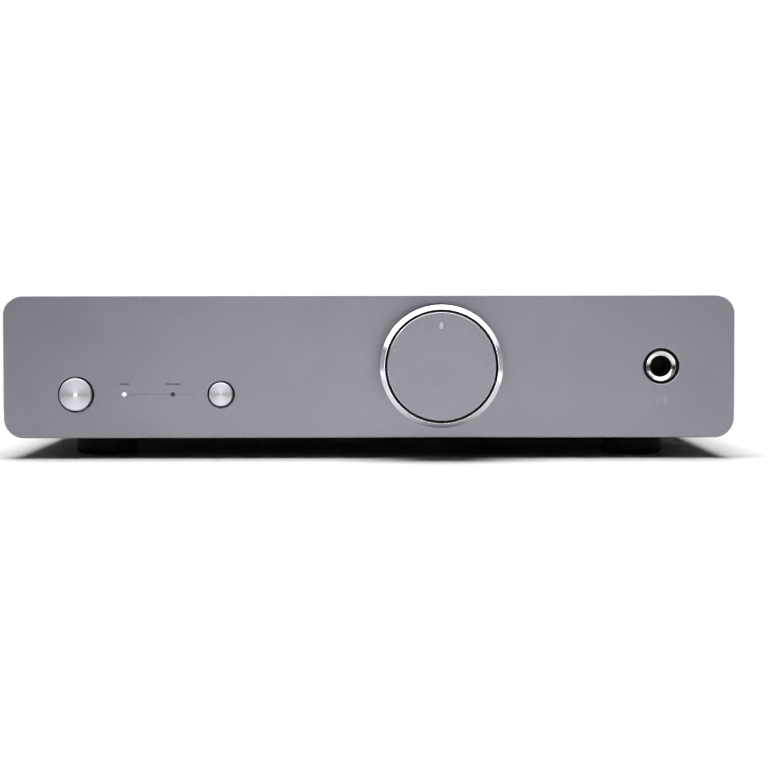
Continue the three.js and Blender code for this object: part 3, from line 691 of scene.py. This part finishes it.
def knob():
    """The turned shell with its bright rim and a pocket coloured near black as painted shade, the disc in its
    front, and the pointer.
    """
    at = (KNOB.x, 0, KNOB.z)
    radius = half_span("knob_shell")
    front, back = span("knob_shell")[0].y, span("knob_shell")[1].y
    face, disc_back = span("knob_face")[0].y, span("knob_face")[1].y
    seat = disc_back + 0.3
    ring = radius - 1.38
    rim = [(radius, front + 1.26, 0.12), (ring + 0.12, front, 0.05), (ring, front, 0.05)]
    pocket = [(ring, seat), (7.0, seat), (7.0, seat + 1.5)]
    inside = [(radius - 2, seat + 1.5, 0.5), (radius - 2, back, 0.3)]
    profile = filleted([(radius, back, 0.35), *rim, *pocket, *inside], steps=5, closed=True)

    def shell_paint(i):
        (r0, y0), (r1, y1) = profile[i], profile[(i + 1) % len(profile)]
        deepest = max(y0, y1)
        # Paint 2, the pocket's inner wall and seat, is painted shade.
        if max(r0, r1) < ring + 0.01 and front + 0.3 < deepest < seat + 0.01:
            return 2
        return 1 if deepest < front + 1.45 and min(r0, r1) > ring - 0.01 else 0

    shell = Shape()
    turned(shell, profile, at, sides=160, closed=True, paint_of=shell_paint)
    polished = turned_metal("polished_rim", (0.88, 0.875, 0.93), 0.16, KNOB, pitch=0.12, depth=0.0006)
    paints = [BLASTED, polished, GROOVE_PAINTED_SHADE]
    piece("knob_shell_turned", shell, paints, "volume_knob", ["knob_shell"])

    def disc_paint(i):
        """The face, its bright chamfer, and the side inside the pocket, coloured near black as painted shade.
        """
        return 0 if i < 1 else 1 if i <= 7 else 2

    disc = Shape()
    edge = half_span("knob_face")
    chamfer = [(edge - 2.2, face), (edge - 0.3, face, 0.06), (edge, face + 0.3, 0.1)]
    profile = filleted([*chamfer, (edge, disc_back, 0.1), (edge - 2.2, disc_back)])
    rings = turned(disc, profile, at, sides=160, paint_of=disc_paint)
    slot = rounded_loop(**loop_of("knob_pointer", 0.35, steps=6, grow=0.1))
    mouth, floor = disc.across(slot, face), disc.across(slot, face + 0.58)
    disc.bridge(mouth, floor)
    disc.fill([floor])
    disc.fill([rings[0], mouth])
    disc.fill([rings[-1]])
    paints = [BLASTED, CUT_BRIGHT, GROOVE_PAINTED_SHADE]
    piece("knob_face_disc", disc, paints, "volume_knob", ["knob_face"])

    pointer = Shape()
    loop = loop_of("knob_pointer", 0.3, steps=6)
    profile = filleted([(0.3, face + 0.06), (0, face + 0.06, 0.12), (0, face + 0.5), (0.3, face + 0.5)])
    pointer.capped([pointer.across(rounded_loop(**loop, inset=inset), y) for inset, y in profile])
    piece("knob_pointer_bar", pointer, [ENAMEL], "volume_knob", ["knob_pointer"])


# ---------------- buttons and lamps


def button(name, radius, flange, stem, bore):
    """A turned cap with a flange behind the panel and a stem; bore is the radius for its lens."""
    centre = BUTTONS[name]
    front, back = span(f"{name}_button")[0].y, span(f"{name}_button")[1].y
    step = PANEL_FRONT + 6.6
    crown = [(bore, back), (bore, front + 0.12), (bore + 0.12, front)] if bore else [(0, front)]
    cap = [(radius * 0.5, front), (radius - 0.25, front, 0.05), (radius, front + 0.25, 0.1)]
    collar = [(radius, step, 0.15), (flange, step, 0.15), (flange, step + 1, 0.15), (stem, step + 1)]
    tail = [(stem, back, 0.2)] if bore else [(stem, back, 0.2), (0, back)]
    hollow = bore > 0
    profile = filleted([*crown, *cap, *collar, *tail], closed=hollow)
    shape = Shape()
    turned(shape, profile, (centre.x, 0, centre.z), closed=hollow)
    # The caps' colour is shaded darker at both sides of the axis: a painted reflection on top of the turning
    # marks.
    marks = dict(pitch=0.10, depth=0.0008, painted_side_shade=0.5)
    spun_with_painted_reflection = turned_metal(f"spun_{name}_cap", (0.79, 0.785, 0.85), 0.42, centre, **marks)
    piece(f"{name}_button_cap", shape, [spun_with_painted_reflection], f"{name}_key", [f"{name}_button"])


def dome(name, node, radius, crown, material, body="case"):
    """The domed end of a light pipe, down to its root."""
    low, high = span(node)
    shoulder = half_span(node)
    corners = [(0, low.y)]
    for k in range(1, 6):
        angle = math.pi / 2 * k / 6
        corners.append((radius * math.sin(angle), low.y + crown * (1 - math.cos(angle))))
    corners.append((radius, low.y + crown))
    if shoulder > radius + 0.3:
        step = PANEL_BACK + 0.3
        corners += [(radius, step), (shoulder, step, 0.1), (shoulder, high.y, 0.1), (0, high.y)]
    else:
        corners += [(radius, high.y), (0, high.y)]
    shape = Shape()
    turned(shape, filleted(corners), (middle(node).x, 0, middle(node).z), sides=32)
    piece(name, shape, [material], body=body, replaces=[node])


def buttons_and_lamps():
    button("power", radius=4.78, flange=6.4, stem=2.5, bore=0.71)
    button("selector", radius=3.5, flange=5.0, stem=2.0, bore=0)
    power_lit = light_pipe("lamp_lit_power", BUTTONS["power"], 1.6, core=0.3, rim=0.66)
    first_lit = light_pipe("lamp_lit", LAMPS[0], 1.4, core=0.48, rim=0.6)
    second_off = light_pipe("lamp_off", LAMPS[1], 0)
    dome("power_lamp", "power_button_lens", 0.65, 0.1, power_lit, "power_key")
    dome("lamp_left", "indicator_lens_1", 0.55, 0.12, first_lit)
    dome("lamp_right", "indicator_lens_2", 0.55, 0.12, second_off)


# ---------------- headphone socket


def headphone_socket():
    """A nickel funnel that leads the plug into its bore, inside the black moulding's round nose."""
    at = (JACK.x, 0, JACK.z)
    rim = half_span("jack_ferrule")
    bore, funnel = 3.1, 0.98
    front, back = span("jack_ferrule")[0].y, span("jack_ferrule")[1].y
    mouth = [(bore, front + funnel, 0.08), (rim - 0.1, front, 0.04), (rim, front + 0.12)]
    ferrule = Shape()
    profile = filleted([*mouth, (rim, back, 0.2), (bore, back, 0.2)], steps=3, closed=True)
    turned(ferrule, profile, at, sides=128, closed=True)
    # The funnel's colour is shaded dark beside the axis and bright above and below: a painted reflection.
    marks = dict(pitch=0.11, depth=0.0004, painted_side_shade=0.85, reach=0.4)
    nickel = turned_metal("turned_nickel_painted_reflection", (0.92, 0.91, 0.91), 0.12, JACK, **marks)
    piece("jack_ferrule_turned", ferrule, [nickel], replaces=["jack_ferrule"])

    low, high = span("jack_body")
    shell_front = PANEL_BACK + 1.6
    seat = rim + 0.3
    moulding = Shape()
    tube(moulding, at, 4.98, seat, low.y, shell_front + 0.6, edge=0.15)
    edge = filleted([(2, shell_front), (0, shell_front, 0.4), (0, high.y, 0.4), (2, high.y)])
    opening = (circle(JACK.x, JACK.z, seat), hole_profile(0.2, shell_front, high.y))
    plate(moulding, loop_of("jack_body", 0.8), edge, [opening])
    stop, end = high.y - 4, high.y - 2
    turned(moulding, [(0, stop), (seat + 0.1, stop), (seat + 0.1, end), (0, end)], at)
    piece("jack_body_moulding", moulding, [PLASTIC], replaces=["jack_body"])


# ---------------- case

COVER_SHEET = 1.0
LIP_START = 93  # half of the opening between the sleeve's two lips


def cover_section(inset):
    """The folded sleeve cut across Y: round its outside from lip to lip, and back round its inside."""
    size = loop_of("top_cover", 5.2, steps=16)
    bottom = span("top_cover")[0].z
    per_corner = size["steps"] + 1

    def path(depth):
        loop = rounded_loop(**size, inset=depth)
        loop = loop[-per_corner:] + loop[:-per_corner]
        lip = LIP_START + inset
        return [(lip, bottom + depth), *loop, (-lip, bottom + depth)]

    return path(inset) + path(COVER_SHEET - inset)[::-1]


def top_cover():
    low, high = span("top_cover")
    round_edge = filleted([(0.45, low.y), (0, low.y, 0.4), (0, high.y, 0.4), (0.45, high.y)], steps=5)
    shape = Shape()
    shape.capped([shape.across(cover_section(inset), y) for inset, y in round_edge])
    piece("top_cover_sleeve", shape, [PAINT], replaces=["top_cover"])


SIDES = ("left", "right")
PHONO_PAIRS = ("input_1", "input_2", "output")
PHONO_NODES = [f"phono_shell_{pair}_{channel}" for pair in PHONO_PAIRS for channel in SIDES]


def rear_panel():
    """A folded sheet with round holes for the sockets, a row of upright vents and the inlet's cut-out."""
    back = REAR_FACE - 1.2
    size = loop_of("rear_panel", 3.9, steps=10)
    edge = filleted([(2, REAR_FACE), (0, REAR_FACE, 0.3), (0, back, 0.15), (2, back)])
    rim = filleted([(0.5, REAR_FACE), (0, REAR_FACE, 0.15), (0, back), (0.3, back)])
    inlet = middle("mains_inlet")
    loops = [circle(middle(node).x, middle(node).z, 4.5, steps=10) for node in PHONO_NODES]
    loops.append(box_loop(inlet.x, inlet.z, 11.3, 6.6, 0.6))
    vents, pitch, row_x = 9, 5, -19
    for i in range(vents):
        x = row_x + (i - (vents - 1) / 2) * pitch
        loops.append(box_loop(x, size["z"], half_width=1, half_height=8, radius=1, steps=6))
    shape = Shape()
    plate(shape, size, edge, [(loop, rim) for loop in loops])
    floor = span("base_tray")[0].z
    block(shape, (-99.6, REAR_FACE - 7.2, floor + 1.3), (99.6, back + 0.2, floor + 2.5), edge=0.15)
    piece("rear_panel_plate", shape, [PAINT], replaces=["rear_panel"])


def rear_marks():
    """Generic marks only: a ring round each socket and one bar over each pair; no words."""
    rings = {channel: Shape() for channel in SIDES}
    bars = Shape()
    for node in PHONO_NODES:
        at = middle(node)
        channel = node.rsplit("_", 1)[1]
        printed_ring(rings[channel], at.x, at.z, 5.75, 6.45)
        if channel == "left":
            wide = 4.2 if "output" in node else 2.4
            bar_mark(bars, at.x, at.z + 9.2, wide, 0.35, REAR_FACE, outward=1)
    piece("phono_rings_left", rings["left"], [WHITE_INK])
    piece("phono_rings_right", rings["right"], [RED_INK])
    piece("rear_bars", bars, [PALE_INK])


def printed_ring(shape, x, z, inner, outer):
    """A ring printed on the rear face, in the same two layers as the other marks."""
    loops = [arc(x, z, radius, 0, 360, 64)[:-1] for radius in (inner, outer)]
    top, base = [[shape.across(loop, REAR_FACE + lift) for loop in loops] for lift in (0.03, 0.006)]
    shape.loft([top[0], top[1], base[1], base[0]], around=True)


def cross_recess(reach, arm):
    """An outline for turned(): a plus with arms of half-width arm, where the radius is under reach."""

    def outline(angle, radius):
        if radius > reach + 1e-6:
            return radius
        turn = abs((angle + math.pi / 4) % (math.pi / 2) - math.pi / 4)
        along = radius / max(math.cos(turn), 1e-6)
        across = arm / max(math.sin(turn), 1e-6)
        valley = arm / math.cos(math.pi / 4)
        return min(along, max(min(across, along), min(valley, radius)), radius * 1.02)

    return outline


def screw(shape, at, head, bottom, top, shank, tip):
    """A pan-head screw seen from below: a cross recess in a domed head, and its shank upwards."""
    recess = head * 0.52
    well = [(0, bottom + 0.95), (recess * 0.75, bottom + 0.9), (recess, bottom + 0.04)]
    dome_start = [(recess + 0.12, bottom), (head * 0.74, bottom + 0.05, 0.6)]
    rim = [(head, bottom + 0.75, 0.35), (head, top, 0.12), (shank, top)]
    profile = [*well, *filleted([*dome_start, *rim], steps=5), (shank, tip), (0, tip + shank)]
    turned(shape, profile, at, "Z", outline=cross_recess(recess, recess * 0.3))


def corners_of_case(part):
    """The four nodes of a part that stands at each corner, with their spans."""
    for end in ("front", "rear"):
        for side in SIDES:
            node = f"{part}_{end}_{side}"
            yield node, *span(node), (middle(node).x, middle(node).y, 0)


def cover_screws():
    for node, low, high, at in corners_of_case("cover_screw"):
        shape = Shape()
        screw(shape, at, half_span(node), low.z, low.z + 1.3, 1.45, high.z - 1.5)
        piece(f"{node}_cross", shape, [SCREW_ZINC], replaces=[node])


def feet():
    """Moulded rubber feet, with a rolled outer edge, a stepped well and the screw that holds each one."""
    screws = Shape()
    for node, _, high, at in corners_of_case("foot"):
        radius = half_span(node)
        well = [(2.0, 3.6, 0.2), (4.6, 3.6, 0.3), (4.6, 0.5, 0.2), (5.2, 0.0, 0.15)]
        outside = [(radius - 1.0, 0.0, 0.5), (radius, 1.2, 0.7), (radius - 0.6, high.z, 0.4), (2.0, high.z)]
        shape = Shape()
        turned(shape, filleted([*well, *outside], steps=5, closed=True), at, "Z", closed=True)
        piece(f"{node}_moulded", shape, [RUBBER], replaces=[node])
        screw(screws, at, 3.6, 1.7, 3.55, 1.9, high.z + 2)
    piece("foot_screws", screws, [SCREW_ZINC])


# ---------------- rear connectors


def phono_sockets():
    barrel, bore = 4.15, 3.45
    seat = REAR_FACE + 0.3
    for node in PHONO_NODES:
        low, high = span(node)
        flange = half_span(node)
        inner_end = [(bore, low.y, 0.1), (barrel, low.y, 0.1), (barrel, seat)]
        ridge = [(flange, seat, 0.1), (flange, seat + 0.9, 0.25), (barrel, seat + 1.25, 0.2)]
        profile = filleted([*inner_end, *ridge, (barrel, high.y, 0.22), (bore, high.y, 0.22)], closed=True)
        shape = Shape()
        turned(shape, profile, (middle(node).x, 0, middle(node).z), sides=80, closed=True)
        piece(f"{node}_turned", shape, [NICKEL], replaces=[node])


def phono_blocks():
    """Each pair's moulding, its two round cores, and the sprung contact in the middle of each core."""
    front = REAR_FACE - 1.5
    for pair in PHONO_PAIRS:
        node = f"phono_block_{pair}"
        low, high = span(node)
        shape = Shape()
        block(shape, (low.x, low.y, low.z), (high.x, front, high.z), edge=0.5)
        for channel in SIDES:
            centre = middle(f"phono_shell_{pair}_{channel}")
            at = (centre.x, 0, centre.z)
            nose = [(3.2, high.y, 0.25), (2.1, high.y, 0.1), (1.75, high.y - 0.5, 0.1)]
            core = filleted([(1.75, front - 0.5), (3.2, front - 0.5), *nose], closed=True)
            turned(shape, core, at, sides=64, closed=True)
            tube(shape, at, 1.7, 1.25, front - 0.3, high.y - 0.7, edge=0.08, sides=48, paint=1)
        piece(f"{node}_moulded", shape, [PLASTIC, BRASS], replaces=[node])


def mains_inlet():
    """A flanged inlet with a round-ended well; the well's floor holds the two pins."""
    low, high = span("mains_inlet")
    centre = (low + high) / 2
    face, back = high.y, high.y - 2.0
    floor = face - 13
    well = box_loop(centre.x, centre.z, 7.8, 4.4, 4.39, steps=14)
    shape = Shape()
    edge = filleted([(3, face), (0.4, face, 0.3), (0, face - 0.7, 0.3), (0, back, 0.1), (3, back)])
    mouth = filleted([(0.8, face), (0.35, face, 0.1), (0, face - 0.35, 0.1), (0, back), (0.5, back)])
    plate(shape, loop_of("mains_inlet", 2.5, steps=8), edge, [(well, mouth)])
    top, bottom = back + 0.1, floor - 1
    wall = [(0.5, top), (0, top), (0, bottom), (0.5, bottom)]
    edge = filleted([(1.5, top), (0, top, 0.2), (0, bottom, 0.2), (1.5, bottom)])
    plate(shape, box_loop(centre.x, centre.z, 11, 6.3, 0.8), edge, [(well, wall)])
    block(shape, (centre.x - 10.8, low.y, centre.z - 6.1), (centre.x + 10.8, floor, centre.z + 6.1), edge=0.5)
    piece("mains_inlet_moulded", shape, [PLASTIC], replaces=["mains_inlet"])

    for i in (1, 2):
        node = f"mains_pin_{i}"
        low, high = span(node)
        x, z = middle(node).x, middle(node).z
        radius = half_span(node)
        root = low.y + 6
        tip = [(0, high.y), (radius * 0.55, high.y, 0.2), (radius, high.y - 0.8, 0.5)]
        shape = Shape()
        turned(shape, filleted([*tip, (radius, root), (0, root)], steps=5), (x, 0, z), sides=40)
        block(shape, (x - 0.4, low.y, z - 1.1), (x + 0.4, low.y + 7, z + 1.1), edge=0.15)
        piece(f"{node}_turned", shape, [NICKEL], replaces=[node])


# ---------------- inside


def spring(name, turns=3.2, wire=0.28):
    """A wound return spring, drawn at one fixed length."""
    node = f"{name}_button_spring"
    low, high = span(node)
    at = (low + high) / 2
    radius = half_span(node) - wire
    length = high.y - low.y
    steps = int(turns * 28)
    around = 10
    # Half a turn lies flat at each end.
    lead = 0.5 / turns
    along = Vector((0, 1, 0))
    shape = Shape()
    rings = []
    for k in range(steps + 1):
        share = k / steps
        angle = 2 * math.pi * turns * share
        rise = min(max((share - lead) / (1 - 2 * lead), 0), 1)
        out = Vector((math.cos(angle), 0, math.sin(angle)))
        centre = Vector((at.x, low.y + wire + (length - 2 * wire) * rise, at.z)) + out * radius
        angles = [2 * math.pi * j / around for j in range(around)]
        rings.append(shape.ring([centre + wire * (math.cos(a) * out + math.sin(a) * along) for a in angles]))
    shape.capped(rings)
    coil = piece(f"{node}_wound", shape, [SPRING], replaces=[node])
    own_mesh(coil)


def capacitors():
    """Sleeved cans with a rolled top and a bare metal lid."""
    for i in (1, 2):
        node = f"filter_capacitor_{i}"
        low, high = span(node)
        radius = half_span(node)
        foot = [(0, low.z), (radius - 0.5, low.z, 0.4), (radius, low.z + 1.2, 0.5)]
        groove = [(radius - 0.45, low.z + 2.6, 0.5), (radius, low.z + 4, 0.5)]
        top = [(radius, high.z, 0.9), (radius - 1.8, high.z, 0.2), (radius - 2.1, high.z - 0.4, 0.2)]
        profile = filleted([*foot, *groove, *top, (0, high.z - 0.4)], steps=5)
        lid = [int(r < radius - 1.7 and z > high.z - 0.6) for r, z in profile]
        shape = Shape()
        turned(shape, profile, (middle(node).x, middle(node).y, 0), "Z", sides=64, paint_of=lambda k: lid[k])
        piece(f"{node}_can", shape, [SLEEVE, CUT_SHAFT], replaces=[node])


def transformer():
    """A wound ring with its turns standing in shallow relief."""
    low, high = span("transformer")
    centre = (low + high) / 2
    outer, inner, corner = half_span("transformer"), 11.0, 6.0
    section = [(inner, low.z), (outer, low.z), (outer, high.z), (inner, high.z)]
    profile = filleted([(*point, corner) for point in section], steps=10, closed=True)
    bundles = 60

    def wound(angle, radius):
        return radius - 0.18 * (1 - abs(math.cos(bundles * angle / 2)))

    shape = Shape()
    turned(shape, profile, (centre.x, centre.y, 0), "Z", sides=360, closed=True, outline=wound)
    windings = copper_windings(centre)
    piece("transformer_ring", shape, [windings], replaces=["transformer"])


def inside():
    """The rest keeps its CAD solid, with rounded edges (in mm) and its own surface."""
    kept = {
        "base_tray": (BLACK_PAINT, 0.15),
        "knob_hub": (PLASTIC, 0.2),
        "knob_set_screw": (SCREW_ZINC, 0.15),
        "volume_shaft": (CUT_SHAFT, 0.25),
        "volume_control_body": (GLOSS_BLACK, 0.5),
        "volume_nut": (NICKEL, 0.25),
        "jack_contact_tip": (BRASS, 0.08),
        "jack_contact_ring": (BRASS, 0.08),
        "control_board": (BOARD, 0.15),
        "main_board": (BOARD, 0.15),
        "heat_sink": (BLACK_ANODISED, 0.25),
        "ribbon_cable": (ribbed_ribbon(), 0.15),
        "secondary_lead": (INSULATION, 0.1),
        "transformer_pad": (RUBBER, 0.4),
        "transformer_washer": (ZINC, 0.3),
        "transformer_bolt": (SCREW_ZINC, 0.25),
    }
    for name in BUTTONS:
        kept[f"{name}_button_guide"] = (PLASTIC, 0.2)
        kept[f"{name}_switch"] = (GLOSS_BLACK, 0.25)
        kept[f"{name}_switch_plunger"] = (PLUNGER, 0.2)
    for node, (material, edge) in kept.items():
        soften_cad(node, material, edge)


# ---------------- studio, in metres


def white_floor():
    """A round white floor that fades into the white around it."""
    mesh = bpy.data.meshes.new("floor")
    sides = 96
    mesh.from_pydata([(x, y, 0) for x, y in arc(0, 0, 0.75, 0, 360, sides)[:-1]], [], [list(range(sides))])
    floor = bpy.data.objects.new("floor", mesh)
    bpy.context.scene.collection.objects.link(floor)
    look = Look("white_floor", (0.86, 0.86, 0.86), 0.9, specular=0.0)
    look.feed(look.shade(look.noise(60), 0.995, 1.005), "Base Color")
    look.feed(look.between(look.from_axis((0, 0, 0), (1, 1, 0)), 1, 0, 0.24, 0.34), "Alpha")
    mesh.materials.append(look.material)


def softbox(name, place, aim, size, energy, mirrored=True):
    """An area light that either shows only in metal and gloss, or lights only matt surfaces."""
    light = bpy.data.lights.new(name, "AREA")
    light.shape = "RECTANGLE"
    light.size, light.size_y = size
    light.energy = energy
    lamp = bpy.data.objects.new(name, light)
    lamp.location = place
    lamp.rotation_mode = "QUATERNION"
    lamp.rotation_quaternion = (Vector(aim) - Vector(place)).to_track_quat("-Z", "Y")
    lamp.visible_camera = False
    lamp.visible_glossy = mirrored
    lamp.visible_diffuse = not mirrored
    bpy.context.scene.collection.objects.link(lamp)


def room():
    """White below and to the camera, dim above, and dark near the horizon except to the two sides."""
    world = bpy.data.worlds.new("studio")
    bpy.context.scene.world = world
    world.use_nodes = True
    world.cycles_visibility.diffuse = False
    sky = Nodes(world.node_tree)
    direction = sky.node("ShaderNodeTexCoord").outputs["Generated"]
    ramp = sky.node("ShaderNodeValToRGB")
    # From straight down at 0 to straight up at 1, with the horizon at 0.5.
    stops = ((0.0, 1.0), (0.485, 1.0), (0.5, 0.03), (0.58, 0.03), (0.64, 0.2), (1.0, 0.2))
    elements = ramp.color_ramp.elements
    while len(elements) < len(stops):
        elements.new(0.5)
    for element, (position, value) in zip(elements, stops):
        element.position = position
        element.color = (value, value, value, 1)
    sky.link(sky.math("ADD", sky.math("MULTIPLY", sky.part(direction, "Z"), 0.5), 0.5), ramp.inputs[0])
    beside = sky.between(sky.math("ABSOLUTE", sky.part(direction, "X")), 0, 1, 0.955, 0.985)
    walls = sky.mix(beside, ramp.outputs["Color"], (0.42, 0.42, 0.42))
    seen = sky.node("ShaderNodeLightPath").outputs["Is Camera Ray"]
    sky.link(sky.mix(seen, walls, (1, 1, 1)), sky.tree.nodes["Background"].inputs["Color"])


def studio():
    bpy.context.scene.view_settings.view_transform = "Standard"
    white_floor()
    softbox("lamp", (-0.02, 0.16, 0.78), (-0.02, 0.16, 0), (0.8, 0.8), 14.5, mirrored=False)
    softbox("ceiling", (-0.19, 0.12, 0.8), (-0.19, 0.12, 0), (1.8, 1.2), 17.2)
    softbox("front", (0.02, -0.75, 0.016), (0, 0, -0.05), (0.36, 0.025), 0.26)
    softbox("left wing", (-1.05, -0.2, 0.7), (0, 0, 0), (0.45, 0.6), 1.55)
    softbox("right wing", (1.05, -0.2, 0.7), (0, 0, 0), (0.42, 0.68), 1.15)
    room()


def camera():
    """A long lens 0.7 m in front of the panel, level with its top and looking slightly down."""
    lens = bpy.data.cameras.new("camera")
    lens.lens = 111.66
    lens.sensor_width = 36
    seen = bpy.data.objects.new("camera", lens)
    seen.location = (4.5 * MM, (PANEL_FRONT - 700) * MM, 46 * MM)
    seen.rotation_euler = (math.radians(90 - 1.975), math.radians(0.085), 0)
    bpy.context.scene.collection.objects.link(seen)
    bpy.context.scene.camera = seen


camera()
studio()
front_panel()
front_marks()
knob()
buttons_and_lamps()
headphone_socket()
top_cover()
rear_panel()
rear_marks()
cover_screws()
feet()
phono_sockets()
phono_blocks()
mains_inlet()
spring("power")
spring("selector")
capacitors()
transformer()
inside()
